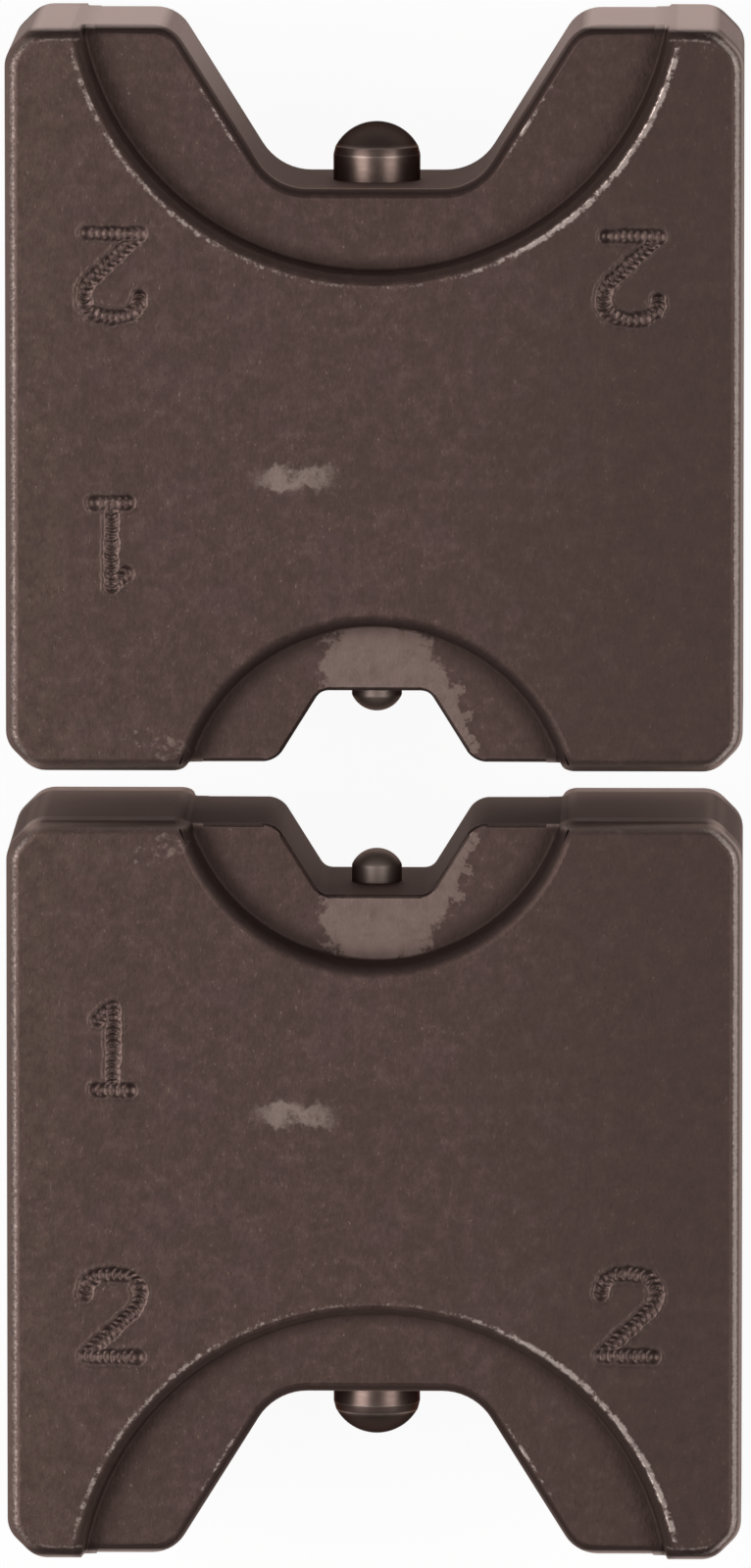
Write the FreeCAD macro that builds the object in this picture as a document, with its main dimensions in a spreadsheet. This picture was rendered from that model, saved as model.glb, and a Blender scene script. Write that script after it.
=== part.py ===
# A crimping die for barrel terminals: two identical steel halves that a press tool closes on a
# terminal. Each half is reversible, with a large half-hexagon nest at one end and a small one at
# the other. A domed indenter pin is pressed into the floor of each nest. Both faces are milled back
# round each nest, so the crimp is narrower than the block.
#
# Frame: the pair lies on its back face. +Z runs from the back face to the front face, +Y runs along
# the closing stroke from the lower half to the upper half, and the origin is midway between the
# halves on the resting plane. The small nests face each other. Lengths in mm, angles in degrees.

import FreeCAD
import Part
import Sketcher
import math
import os

SIZES = [
    ("block_width", 38.0, "width of a half, across the stroke"),
    ("block_length", 38.5, "length of a half, along the stroke"),
    ("block_thickness", 16.0, "thickness of a half, front to back"),
    ("corner_cut", 1.45, "how far the flat across an outer corner reaches along each side"),
    ("corner_round", 1.5, "radius at each end of the flat across an outer corner"),
    ("edge_chamfer", 0.5, "chamfer round the front and back faces"),
    ("open_gap", 2.6, "gap between the halves as they lie"),
    ("recess_depth", 2.0, "depth of the milled recesses in each face"),
    ("recess_offset", 2.6, "how far each recess centre lies beyond its end of the block"),
    ("large_recess_radius", 15.3, "radius of the large recess at its floor"),
    ("small_recess_radius", 10.0, "radius of the small recess at its floor"),
    ("recess_draft", 5.0, "lean of the recess walls"),
    ("recess_floor_round", 0.2, "radius between a recess wall and its floor"),
    ("recess_rim_chamfer", 0.45, "chamfer round the rim of a recess"),
    ("flank_lean", 32.0, "lean of the nest flanks from the stroke"),
    ("large_nest_depth", 8.5, "depth of the large nest, half of 17 across flats"),
    ("large_floor_width", 10.3, "width of the large nest floor, corner to corner"),
    ("large_floor_round", 3.0, "radius in the corners of the large nest"),
    ("large_mouth_round", 2.0, "radius at the mouth of the large nest"),
    ("large_nest_chamfer", 0.45, "chamfer along the front and back edges of the large nest"),
    ("small_nest_depth", 4.0, "depth of the small nest, half of 8 across flats"),
    ("small_floor_width", 5.6, "width of the small nest floor, corner to corner"),
    ("small_floor_round", 0.7, "radius in the corners of the small nest"),
    ("small_mouth_round", 1.3, "radius at the mouth of the small nest"),
    ("small_nest_chamfer", 0.2, "chamfer along the front and back edges of the small nest"),
    ("small_land_relief", 0.3, "how far the thin land stands back at the small nest"),
    ("large_pin_diameter", 4.5, "diameter of the large indenter"),
    ("large_pin_height", 3.0, "height of the large indenter above the nest floor"),
    ("large_pin_dome", 2.35, "radius of the large indenter's dome"),
    ("large_pin_shank", 8.0, "length of the large indenter inside the block"),
    ("small_pin_diameter", 2.6, "diameter of the small indenter"),
    ("small_pin_height", 1.7, "height of the small indenter above the nest floor"),
    ("small_pin_dome", 1.42, "radius of the small indenter's dome"),
    ("small_pin_shank", 5.0, "length of the small indenter inside the block"),
    ("pin_dome_blend", 0.25, "radius between an indenter's dome and its side"),
    ("pin_lead_chamfer", 0.4, "chamfer at the pressed-in end of an indenter"),
    ("pin_bore_clearance", 0.01, "radial clearance left between shank and bore"),
]

# Places that several features share, along the stroke from the end that meets the other half.
LARGE_FLOOR = "sizes.block_length - sizes.large_nest_depth"
SMALL_FLOOR = "sizes.small_nest_depth"
LARGE_CENTRE = "sizes.block_length + sizes.recess_offset"
SMALL_CENTRE = "-sizes.recess_offset"

# How far a cutting profile runs on past the steel that it cuts.
OVERRUN = 3.0

document = FreeCAD.newDocument("crimping_die")
sheet = document.addObject("Spreadsheet::Sheet", "sizes")
for row, (alias, size, meaning) in enumerate(SIZES, start=1):
    sheet.set(f"A{row}", meaning)
    sheet.set(f"B{row}", str(size))
    sheet.setAlias(f"B{row}", alias)
document.recompute()


def size_of(expression):
    """The present value of an expression on the sheet."""
    return float(sheet.evalExpression(expression))


def origin_feature(body, role):
    """The origin plane of a body that has this role."""
    return next(item for item in body.Origin.OriginFeatures if item.Role == role)


def sketch_on(body, name, role):
    """A new sketch on one of the body's own origin planes."""
    sketch = body.newObject("Sketcher::SketchObject", name)
    sketch.AttachmentSupport = [(origin_feature(body, role), "")]
    sketch.MapMode = "FlatFace"
    return sketch


def bind(sketch, kind, *where_and_size):
    """Add a dimension to a sketch. Its last value is the expression that drives it."""
    *where, expression = where_and_size
    index = sketch.addConstraint(Sketcher.Constraint(kind, *where, size_of(expression)))
    sketch.setExpression(f"Constraints[{index}]", expression)


def place_point(sketch, geometry, end, x_size, y_size):
    """Hold a point of a sketch at two expressions, measured from the sketch's origin."""
    bind(sketch, "DistanceX", -1, 1, geometry, end, x_size)
    bind(sketch, "DistanceY", -1, 1, geometry, end, y_size)


def angle_about(centre, point):
    """The angle of a point, seen from a centre."""
    return math.atan2(point.y - centre.y, point.x - centre.x)


def add_arc(sketch, centre, start, end, leftward):
    """Draw an arc and return its index and the positions of its start and end."""
    first, last = angle_about(centre, start), angle_about(centre, end)
    if not leftward:
        first, last = last, first
    if last < first:
        last += 2 * math.pi
    circle = Part.Circle(centre, FreeCAD.Vector(0, 0, 1), (start - centre).Length)
    arc = sketch.addGeometry(Part.ArcOfCircle(circle, first, last))
    return (arc, 1, 2) if leftward else (arc, 2, 1)


def turns_left(before, here, after):
    """Whether a path through three points turns left."""
    return (here - before).cross(after - here).z > 0


def closed_profile(sketch, corners, bites=None):
    """Draw a closed outline, counter-clockwise.

    Each corner is (x, y, radius), as expressions, with None for a sharp one. A bite replaces the
    side that starts at a corner by a hollow arc: {corner: height of the arc's centre}.
    """
    bites = bites or {}
    points = [FreeCAD.Vector(size_of(x), size_of(y), 0) for x, y, _ in corners]
    side_starts = []
    side_ends = []
    centres = []
    for index, (_, _, radius) in enumerate(corners):
        here = points[index]
        if not radius:
            side_ends.append(here)
            side_starts.append(here)
            centres.append(None)
            continue
        back = (points[index - 1] - here).normalize()
        onward = (points[(index + 1) % len(corners)] - here).normalize()
        half_angle = back.getAngle(onward) / 2
        size = size_of(radius)
        side_ends.append(here + back * (size / math.tan(half_angle)))
        side_starts.append(here + onward * (size / math.tan(half_angle)))
        centres.append(here + (back + onward).normalize() * (size / math.sin(half_angle)))

    sides = []
    for index, start in enumerate(side_starts):
        end = side_ends[(index + 1) % len(corners)]
        if index in bites:
            centre = FreeCAD.Vector(0, size_of(bites[index]), 0)
            sides.append(add_arc(sketch, centre, start, end, False))
            bind(sketch, "DistanceY", -1, 1, sides[-1][0], 3, bites[index])
        else:
            sides.append((sketch.addGeometry(Part.LineSegment(start, end)), 1, 2))

    for index, (x_size, y_size, radius) in enumerate(corners):
        incoming, _, end_in = sides[index - 1]
        outgoing, start_out, _ = sides[index]
        if not radius:
            meet = Sketcher.Constraint("Coincident", incoming, end_in, outgoing, start_out)
            sketch.addConstraint(meet)
            place_point(sketch, outgoing, start_out, x_size, y_size)
            continue
        start, end = side_ends[index], side_starts[index]
        leftward = turns_left(start, points[index], end)
        arc, arc_start, arc_end = add_arc(sketch, centres[index], start, end, leftward)
        sketch.addConstraint(Sketcher.Constraint("Tangent", incoming, end_in, arc, arc_start))
        sketch.addConstraint(Sketcher.Constraint("Tangent", arc, arc_end, outgoing, start_out))
        bind(sketch, "Radius", arc, radius)
        corner = sketch.addGeometry(Part.Point(points[index]), True)
        sketch.addConstraint(Sketcher.Constraint("PointOnObject", corner, 1, incoming))
        sketch.addConstraint(Sketcher.Constraint("PointOnObject", corner, 1, outgoing))
        place_point(sketch, corner, 1, x_size, y_size)


def check_cut(feature):
    """Refuse a cutting feature that took nothing away."""
    document.recompute()
    if feature.Shape.Volume > feature.BaseFeature.Shape.Volume - 1e-3:
        raise ValueError(f"{feature.Name} cuts nothing")


def recess(body, name, radius, centre):
    """Mill a round recess into the front face, its centre on the body's middle line."""
    floor = "sizes.block_thickness / 2 - sizes.recess_depth"
    face = "sizes.block_thickness / 2"
    wall_run = "(sizes.recess_depth - sizes.recess_rim_chamfer) * tan(sizes.recess_draft * 1 deg)"
    wall_top = f"{radius} + {wall_run}"
    rim = f"{wall_top} + sizes.recess_rim_chamfer"
    sketch = sketch_on(body, f"{name}_profile", "YZ_Plane")
    sketch.setExpression("AttachmentOffset.Base.x", centre)
    closed_profile(sketch, [
        ("0", floor, None),
        (radius, floor, "sizes.recess_floor_round"),
        (wall_top, f"{face} - sizes.recess_rim_chamfer", None),
        (rim, face, None),
        (rim, f"{face} + {OVERRUN}", None),
        ("0", f"{face} + {OVERRUN}", None),
    ])
    groove = body.newObject("PartDesign::Groove", name)
    groove.Profile = sketch
    groove.ReferenceAxis = (sketch, ["V_Axis"])
    groove.Angle = 360
    check_cut(groove)
    return groove


def bite_radius(recess_radius):
    """Radius that the outer part keeps clear for the thin middle part to fill."""
    return f"({recess_radius} - sizes.recess_floor_round - sizes.large_nest_chamfer)"


def half_chord(radius, inward):
    """Half the width of a circle round a recess centre, at a distance in from the end of the block."""
    return f"sqrt({radius} ^ 2 - (sizes.recess_offset + {inward}) ^ 2)"


def other_side(right_side):
    """The same corners left of the middle line, in the order that closes the outline."""
    return [(f"-({x_size})", y_size, radius) for x_size, y_size, radius in reversed(right_side)]


def middle_corners():
    """The outline of the thin middle part, which holds both nests."""
    side = "sizes.large_recess_radius"
    lean = "tan(sizes.flank_lean * 1 deg)"
    large_land = "sizes.block_length"
    large_half = "sizes.large_floor_width / 2"
    large_mouth = f"{large_half} + sizes.large_nest_depth * {lean}"
    small_land = "sizes.small_land_relief"
    small_half = "sizes.small_floor_width / 2"
    small_mouth = f"{small_half} + (sizes.small_nest_depth - sizes.small_land_relief) * {lean}"
    right_side = [
        (small_half, SMALL_FLOOR, "sizes.small_floor_round"),
        (small_mouth, small_land, "sizes.small_mouth_round"),
        (side, small_land, None),
        (side, large_land, None),
        (large_mouth, large_land, "sizes.large_mouth_round"),
        (large_half, LARGE_FLOOR, "sizes.large_floor_round"),
    ]
    return right_side + other_side(right_side)


def outer_corners():
    """The outline of the full-thickness outer part, and the round bite out of each end."""
    half_width = "sizes.block_width / 2"
    large_bite = bite_radius("sizes.large_recess_radius")
    small_bite = bite_radius("sizes.small_recess_radius")
    cut_width = "(sizes.block_width / 2 - sizes.corner_cut)"
    cut_length = "sizes.block_length - sizes.corner_cut"
    right_side = [
        (half_chord(small_bite, "0"), "0", None),
        (cut_width, "0", "sizes.corner_round"),
        (half_width, "sizes.corner_cut", "sizes.corner_round"),
        (half_width, cut_length, "sizes.corner_round"),
        (cut_width, "sizes.block_length", "sizes.corner_round"),
        (half_chord(large_bite, "0"), "sizes.block_length", None),
    ]
    corners = right_side + other_side(right_side)
    return corners, {len(right_side) - 1: LARGE_CENTRE, len(corners) - 1: SMALL_CENTRE}


def plate(body, name, corners, bites, thickness):
    """Add a plate, centred on mid-thickness."""
    sketch = sketch_on(body, f"{name}_outline", "XY_Plane")
    closed_profile(sketch, corners, bites)
    pad = body.newObject("PartDesign::Pad", name)
    pad.Profile = sketch
    pad.SideType = "Symmetric"
    pad.setExpression("Length", thickness)
    document.recompute()


def chamfer_rims(body, name, thickness, size, start, end):
    """Chamfer the rims of the last plate's front and back, between two places along the stroke."""
    half_thickness = size_of(thickness) / 2
    lowest, highest = size_of(start) - 1e-6, size_of(end) + 1e-6
    base = body.Tip
    edges = []
    for index, edge in enumerate(base.Shape.Edges, start=1):
        lies_flat = abs(edge.Vertexes[0].Z - edge.Vertexes[-1].Z) < 1e-6
        on_face = abs(abs(edge.Vertexes[0].Z) - half_thickness) < 1e-6
        if lies_flat and on_face and all(lowest < point.Y < highest for point in edge.Vertexes):
            edges.append(f"Edge{index}")
    chamfer = body.newObject("PartDesign::Chamfer", name)
    chamfer.Base = (base, edges)
    chamfer.setExpression("Size", size)
    check_cut(chamfer)


def relieve_land(body, name):
    """Set the thin end face at the small nest back, from recess wall to recess wall."""
    relief = "sizes.small_land_relief"
    at_wall = half_chord("sizes.small_recess_radius", relief)
    outside = f"({at_wall} + 2 * {relief})"
    sketch = sketch_on(body, f"{name}_outline", "XY_Plane")
    closed_profile(sketch, [
        (f"-{outside}", f"-{OVERRUN}", None),
        (outside, f"-{OVERRUN}", None),
        (outside, "0", None),
        (at_wall, relief, None),
        (f"-{at_wall}", relief, None),
        (f"-{outside}", "0", None),
    ])
    pocket = body.newObject("PartDesign::Pocket", name)
    pocket.Profile = sketch
    pocket.SideType = "Symmetric"
    pocket.setExpression("Length", f"sizes.block_thickness + {OVERRUN}")
    check_cut(pocket)


def mirror_to_back(body, name, originals):
    """Repeat front features on the back of the block."""
    mirrored = body.newObject("PartDesign::Mirrored", name)
    mirrored.Originals = originals
    mirrored.MirrorPlane = (origin_feature(body, "XY_Plane"), [""])
    body.Tip = mirrored
    check_cut(mirrored)


def pin_bore(body, name, diameter, floor, depth, toward_large_end):
    """Drill the blind bore that holds an indenter, from a nest floor into the block."""
    sketch = sketch_on(body, f"{name}_outline", "XZ_Plane")
    sketch.setExpression("AttachmentOffset.Base.z", f"-({floor})")
    radius = f"{diameter} / 2 + sizes.pin_bore_clearance"
    circle = Part.Circle(FreeCAD.Vector(), FreeCAD.Vector(0, 0, 1), size_of(radius))
    bore = sketch.addGeometry(circle)
    sketch.addConstraint(Sketcher.Constraint("Coincident", bore, 3, -1, 1))
    bind(sketch, "Radius", bore, radius)
    pocket = body.newObject("PartDesign::Pocket", name)
    pocket.Profile = sketch
    pocket.Reversed = not toward_large_end
    pocket.setExpression("Length", depth)
    check_cut(pocket)


def die_block(label, side):
    """One half. Its own origin is at mid-thickness in the middle of the end that meets the other half."""
    body = document.addObject("PartDesign::Body", label)
    body.Label = label
    thin = "sizes.block_thickness - 2 * sizes.recess_depth"
    thick = "sizes.block_thickness"
    far_end = "sizes.block_length"
    middle_line = "sizes.block_length / 2"
    plate(body, "middle", middle_corners(), None, thin)
    chamfer_rims(body, "large_nest_chamfer", thin, "sizes.large_nest_chamfer", middle_line, far_end)
    chamfer_rims(body, "small_nest_chamfer", thin, "sizes.small_nest_chamfer", "0", middle_line)
    corners, bites = outer_corners()
    plate(body, "outer", corners, bites, thick)
    chamfer_rims(body, "outer_chamfer", thick, "sizes.edge_chamfer", "0", far_end)

    large_recess = recess(body, "large_recess", "sizes.large_recess_radius", LARGE_CENTRE)
    small_recess = recess(body, "small_recess", "sizes.small_recess_radius", SMALL_CENTRE)
    mirror_to_back(body, "back_recesses", [large_recess, small_recess])
    relieve_land(body, "small_land")

    pin_bore(body, "large_bore", "sizes.large_pin_diameter", LARGE_FLOOR, "sizes.large_pin_shank", False)
    pin_bore(body, "small_bore", "sizes.small_pin_diameter", SMALL_FLOOR, "sizes.small_pin_shank", True)
    place(body, side, "0", side > 0)
    return body


def indenter(label, size_name, side, floor, points_up):
    """A domed indenter pin. Its own origin is on its axis, level with the nest floor."""
    diameter = f"sizes.{size_name}_diameter"
    height = f"sizes.{size_name}_height"
    dome = f"sizes.{size_name}_dome"
    shank = f"sizes.{size_name}_shank"
    body = document.addObject("PartDesign::Body", label)
    body.Label = label

    radius = size_of(diameter) / 2
    top = size_of(height)
    dome_radius = size_of(dome)
    bottom = -size_of(shank)
    lead = size_of("sizes.pin_lead_chamfer")
    shoulder = top - dome_radius + math.sqrt(dome_radius ** 2 - radius ** 2)
    outline = [
        FreeCAD.Vector(0, top, 0),
        FreeCAD.Vector(0, bottom, 0),
        FreeCAD.Vector(radius - lead, bottom, 0),
        FreeCAD.Vector(radius, bottom + lead, 0),
        FreeCAD.Vector(radius, shoulder, 0),
    ]
    sketch = sketch_on(body, "half_section", "XY_Plane")
    lines = []
    for start, end in zip(outline, outline[1:]):
        lines.append(sketch.addGeometry(Part.LineSegment(start, end)))
    for before, after in zip(lines, lines[1:]):
        sketch.addConstraint(Sketcher.Constraint("Coincident", before, 2, after, 1))
    axis_line, end_line, lead_line, side_line = lines
    centre = FreeCAD.Vector(0, top - dome_radius, 0)
    circle = Part.Circle(centre, FreeCAD.Vector(0, 0, 1), dome_radius)
    shoulder_angle = math.acos(radius / dome_radius)
    arc = sketch.addGeometry(Part.ArcOfCircle(circle, shoulder_angle, math.pi / 2))
    sketch.addConstraint(Sketcher.Constraint("Coincident", side_line, 2, arc, 1))
    sketch.addConstraint(Sketcher.Constraint("Coincident", arc, 2, axis_line, 1))
    sketch.addConstraint(Sketcher.Constraint("PointOnObject", arc, 3, -2))
    bind(sketch, "Radius", arc, dome)
    place_point(sketch, axis_line, 1, "0", height)
    place_point(sketch, end_line, 1, "0", f"-{shank}")
    place_point(sketch, lead_line, 1, f"{diameter} / 2 - sizes.pin_lead_chamfer", f"-{shank}")
    place_point(sketch, side_line, 1, f"{diameter} / 2", f"-{shank} + sizes.pin_lead_chamfer")
    bind(sketch, "DistanceX", -1, 1, side_line, 2, f"{diameter} / 2")

    turned = body.newObject("PartDesign::Revolution", "turned_pin")
    turned.Profile = sketch
    turned.ReferenceAxis = (sketch, ["V_Axis"])
    turned.Angle = 360
    document.recompute()
    edges = [
        f"Edge{index}"
        for index, edge in enumerate(turned.Shape.Edges, start=1)
        if edge.Closed and abs(edge.CenterOfMass.y - shoulder) < 1e-3
    ]
    blend = body.newObject("PartDesign::Fillet", "dome_blend")
    blend.Base = (turned, edges)
    blend.setExpression("Radius", "sizes.pin_dome_blend")
    place(body, side, floor, points_up)
    return body


def place(body, side, distance, points_up):
    """Set a body at a distance from its half's end, upright or turned half round about +Z."""
    turn = 0 if points_up else 180
    body.Placement = FreeCAD.Placement(FreeCAD.Vector(), FreeCAD.Rotation(FreeCAD.Vector(0, 0, 1), turn))
    body.setExpression("Placement.Base.y", f"{side} * (sizes.open_gap / 2 + {distance})")
    body.setExpression("Placement.Base.z", "sizes.block_thickness / 2")


nodes = []
for half, side in (("upper", 1), ("lower", -1)):
    nodes.append(die_block(f"{half}_die_block", side))
    nodes.append(indenter(f"{half}_large_indenter", "large_pin", side, LARGE_FLOOR, side > 0))
    nodes.append(indenter(f"{half}_small_indenter", "small_pin", side, SMALL_FLOOR, side < 0))
document.recompute()

for item in document.Objects:
    if "Invalid" in item.State or "Error" in item.State:
        raise ValueError(f"{item.Name} failed: {item.State}")
os.makedirs("parts", exist_ok=True)
for body in nodes:
    shape = body.Shape
    if shape.isNull() or not shape.isValid() or len(shape.Solids) != 1:
        raise ValueError(f"{body.Label} is not one valid solid")
    shape.exportStep(f"parts/{body.Label}.step")
    print(body.Label, round(shape.Volume, 3), shape.BoundBox)
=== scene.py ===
"""Looks for a pair of crimping die halves: black oxide tool steel blocks with polished indenter pins."""

import math
import random

import bmesh
import bpy
from mathutils import Matrix, Vector, kdtree


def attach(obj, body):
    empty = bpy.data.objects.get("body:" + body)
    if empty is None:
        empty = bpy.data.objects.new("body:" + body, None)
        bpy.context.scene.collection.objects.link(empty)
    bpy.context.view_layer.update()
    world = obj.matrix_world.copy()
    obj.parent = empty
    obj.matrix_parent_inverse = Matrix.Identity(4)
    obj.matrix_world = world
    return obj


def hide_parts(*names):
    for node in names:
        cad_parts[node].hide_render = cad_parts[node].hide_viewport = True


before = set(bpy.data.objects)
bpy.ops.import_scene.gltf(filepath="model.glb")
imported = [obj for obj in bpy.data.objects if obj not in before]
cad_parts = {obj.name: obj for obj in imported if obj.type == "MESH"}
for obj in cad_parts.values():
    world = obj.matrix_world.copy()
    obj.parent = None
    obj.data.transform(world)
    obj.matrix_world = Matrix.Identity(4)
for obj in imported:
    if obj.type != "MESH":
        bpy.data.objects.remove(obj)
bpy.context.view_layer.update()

MM = 0.001
scene = bpy.context.scene
scene.view_settings.view_transform = "Standard"

# Sizes of the real parts, in millimetres, as the frame has them
BLOCK_WIDTH = 38.0
BLOCK_LENGTH = 38.5
BLOCK_THICKNESS = 16.0
CORNER_CUT = 1.45
CORNER_SOFTENING = 0.74
BLOCK_CENTRE = 20.55
LARGE_NEST_FLOOR = 31.3
SMALL_NEST_FLOOR = 5.3
RECESS_CENTRE = 21.85
LARGE_RIM_RADIUS = 15.886
SMALL_RIM_RADIUS = 10.586
FRONT_FACE = BLOCK_THICKNESS * MM

# Levels from the middle of the thickness: the faces, the feet of their chamfers and the recess floors
FACE_LEVEL = BLOCK_THICKNESS / 2
CHAMFER_FOOT = 7.5
RECESS_LEVEL = 6.0
TOLERANCE = 0.01


def linear(hex_colour):
    """The linear RGBA of a six figure sRGB hex colour."""
    channels = [int(hex_colour[i:i + 2], 16) / 255 for i in (0, 2, 4)]
    bent = [c / 12.92 if c <= 0.04045 else ((c + 0.055) / 1.055) ** 2.4 for c in channels]
    return (*bent, 1.0)


def add_node(tree, kind, settings=(), **links):
    """Adds one node. Settings are (name or socket number, value) pairs. Links name an input socket, or
    give its number after an underscore."""
    node = tree.nodes.new(kind)
    for name, value in settings:
        if isinstance(name, str) and hasattr(node, name):
            setattr(node, name, value)
        else:
            node.inputs[name].default_value = value
    for name, source in links.items():
        numbered = name[1:].isdigit()
        tree.links.new(source, node.inputs[int(name[1:]) if numbered else name])
    return node


# The camera stands beyond the upper half's large nest and looks down at the middle of the pair
CAMERA_PLACE = Vector((20.4 * MM, 126.0 * MM, 1066.0 * MM))
CAMERA_TARGET = Vector((0.08 * MM, 0.7 * MM, FRONT_FACE))
camera_data = bpy.data.cameras.new("camera")
camera_data.sensor_fit = "VERTICAL"
camera_data.sensor_height = 36.0
camera_data.lens = 470.9
camera_data.clip_end = 20.0
camera = bpy.data.objects.new("camera", camera_data)
scene.collection.objects.link(camera)
backward = (CAMERA_PLACE - CAMERA_TARGET).normalized()
rightward = Vector((0.0, 1.0, 0.0)).cross(backward).normalized()
upward = backward.cross(rightward)
camera.location = CAMERA_PLACE
camera.rotation_euler = Matrix((rightward, upward, backward)).transposed().to_euler()
scene.camera = camera

# White floor: it shows itself to the camera and to reflections at a strength of 1, and keeps a soft shadow
floor_mesh = bpy.data.meshes.new("floor")
shape = bmesh.new()
bmesh.ops.create_grid(shape, x_segments=1, y_segments=1, size=6.0)
shape.to_mesh(floor_mesh)
shape.free()
floor = bpy.data.objects.new("floor", floor_mesh)
scene.collection.objects.link(floor)
white = bpy.data.materials.new("white_table")
white.use_nodes = True
tree = white.node_tree
tree.nodes.clear()
path = add_node(tree, "ShaderNodeLightPath")
camera_or_glossy = add_node(
    tree, "ShaderNodeMath", [("operation", "MAXIMUM")],
    _0=path.outputs["Is Camera Ray"], _1=path.outputs["Is Glossy Ray"],
)
seen = add_node(
    tree, "ShaderNodeMath", [("operation", "MAXIMUM")],
    _0=camera_or_glossy.outputs[0], _1=path.outputs["Is Transmission Ray"],
)
share = add_node(tree, "ShaderNodeMath", [("operation", "MULTIPLY"), (1, 0.94)], _0=seen.outputs[0])
lit = add_node(tree, "ShaderNodeBsdfDiffuse", [("Color", linear("EDEDED"))])
glow = add_node(tree, "ShaderNodeEmission", [("Color", (1.0, 1.0, 1.0, 1.0)), ("Strength", 1.0)])
mixed = add_node(
    tree, "ShaderNodeMixShader", _0=share.outputs[0], _1=lit.outputs[0], _2=glow.outputs[0],
)
add_node(tree, "ShaderNodeOutputMaterial", Surface=mixed.outputs[0])
floor_mesh.materials.append(white)

# Dim room, and one soft box on each side about 40 degrees off the vertical, the left one a little stronger
world = bpy.data.worlds.new("room")
world.use_nodes = True
world.node_tree.nodes["Background"].inputs["Color"].default_value = (1.0, 0.985, 0.965, 1.0)
world.node_tree.nodes["Background"].inputs["Strength"].default_value = 0.18
scene.world = world


def soft_box(name, place, size, watts):
    """A rectangular area light at a place in metres, facing the part, its second side along the stroke."""
    data = bpy.data.lights.new(name, "AREA")
    data.shape = "RECTANGLE"
    data.size = size[0]
    data.size_y = size[1]
    data.energy = watts
    light = bpy.data.objects.new(name, data)
    scene.collection.objects.link(light)
    light.location = place
    away = Vector((place[0], 0.0, place[2])).normalized()
    stroke = Vector((0.0, 1.0, 0.0))
    light.rotation_euler = Matrix((stroke.cross(away), stroke, away)).transposed().to_euler()


soft_box("left_soft_box", (-0.70, 0.0, 0.80), (0.62, 0.9), 9.0)
soft_box("right_soft_box", (0.66, 0.0, 0.84), (0.5, 0.9), 5.7)


# Shapes

# Rounds that handling has given to the edges, in millimetres, and which edges are sharp enough for one
LARGE_RIM_ROUND = 0.08
SMALL_RIM_ROUND = 0.24
FACE_ROUND = 0.22
CHAMFER_FOOT_ROUND = 0.20
NEST_ROUND = 0.06
UPRIGHT_ROUND = 0.10
BEVEL_REACH = 0.25
SHARP_ANGLE = math.radians(24.0)
SHORTEST_EDGE = 0.22
# A rim's two edges lie this far inside its outer radius, and within this reach of there
RIM_INSET = 0.2
RIM_REACH = 0.35
# A face over this size in square millimetres stays flat to its border
BROAD_FACE = 8.0
# Vertices nearer than this are one, in the CAD's mesh and in a bevelled one
CAD_DOUBLES = 0.001
BEVEL_DOUBLES = 0.004


def from_block_centre(point, side):
    """A point of a half in millimetres from its block's centre, the large nest at +Y on both halves."""
    return Vector((point.x / MM, side * point.y / MM - BLOCK_CENTRE, point.z / MM - BLOCK_THICKNESS / 2))


def edge_radius(start, end):
    """Radius in millimetres that handling has given to an edge of a half."""
    middle = (start + end) / 2
    low, high = sorted((abs(start.z), abs(end.z)))
    from_large = math.hypot(middle.x, middle.y - RECESS_CENTRE)
    from_small = math.hypot(middle.x, middle.y + RECESS_CENTRE)
    on_large_rim = abs(from_large - LARGE_RIM_RADIUS + RIM_INSET) < RIM_REACH
    on_small_rim = abs(from_small - SMALL_RIM_RADIUS + RIM_INSET) < RIM_REACH
    on_face = low > FACE_LEVEL - TOLERANCE
    on_chamfer_foot = low > CHAMFER_FOOT - 0.1 and high < CHAMFER_FOOT + 0.1
    if on_face or on_chamfer_foot:
        if on_large_rim:
            return LARGE_RIM_ROUND
        if on_small_rim:
            return SMALL_RIM_ROUND
        return FACE_ROUND if on_face else CHAMFER_FOOT_ROUND
    if (end - start).length < SHORTEST_EDGE:
        return 0.0
    if low > RECESS_LEVEL - 0.5 and high < RECESS_LEVEL + TOLERANCE:
        return NEST_ROUND
    upright = math.hypot(start.x - end.x, start.y - end.y) < TOLERANCE
    return UPRIGHT_ROUND if upright and high > RECESS_LEVEL - 1.0 else 0.0


def solid_copy(name):
    """A closed copy of a CAD node's mesh, with its flat faces whole."""
    shape = bmesh.new()
    shape.from_mesh(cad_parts[name].data)
    bmesh.ops.remove_doubles(shape, verts=shape.verts[:], dist=CAD_DOUBLES * MM)
    bmesh.ops.dissolve_limit(
        shape, angle_limit=math.radians(0.3), verts=shape.verts[:], edges=shape.edges[:],
    )
    return shape


def link_piece(name, shape):
    """Makes an object of a bmesh, its faces smooth."""
    mesh = bpy.data.meshes.new(name)
    shape.to_mesh(mesh)
    shape.free()
    mesh.shade_smooth()
    piece = bpy.data.objects.new(name, mesh)
    scene.collection.objects.link(piece)
    return piece


def apply_modifiers(piece):
    """Writes a piece's modifiers into its mesh."""
    graph = bpy.context.evaluated_depsgraph_get()
    mesh = bpy.data.meshes.new_from_object(piece.evaluated_get(graph))
    piece.modifiers.clear()
    piece.data = mesh


def dots_along(stroke, pitch):
    """Points at an even pitch along a stroke of a numeral."""
    corners = [Vector(corner) for corner in stroke]
    dots = []
    left_over = 0.0
    for start, end in zip(corners, corners[1:]):
        run = (end - start).length
        travelled = left_over
        while travelled < run:
            dots.append(start.lerp(end, travelled / run))
            travelled += pitch
        left_over = travelled - run
    return dots


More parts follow.
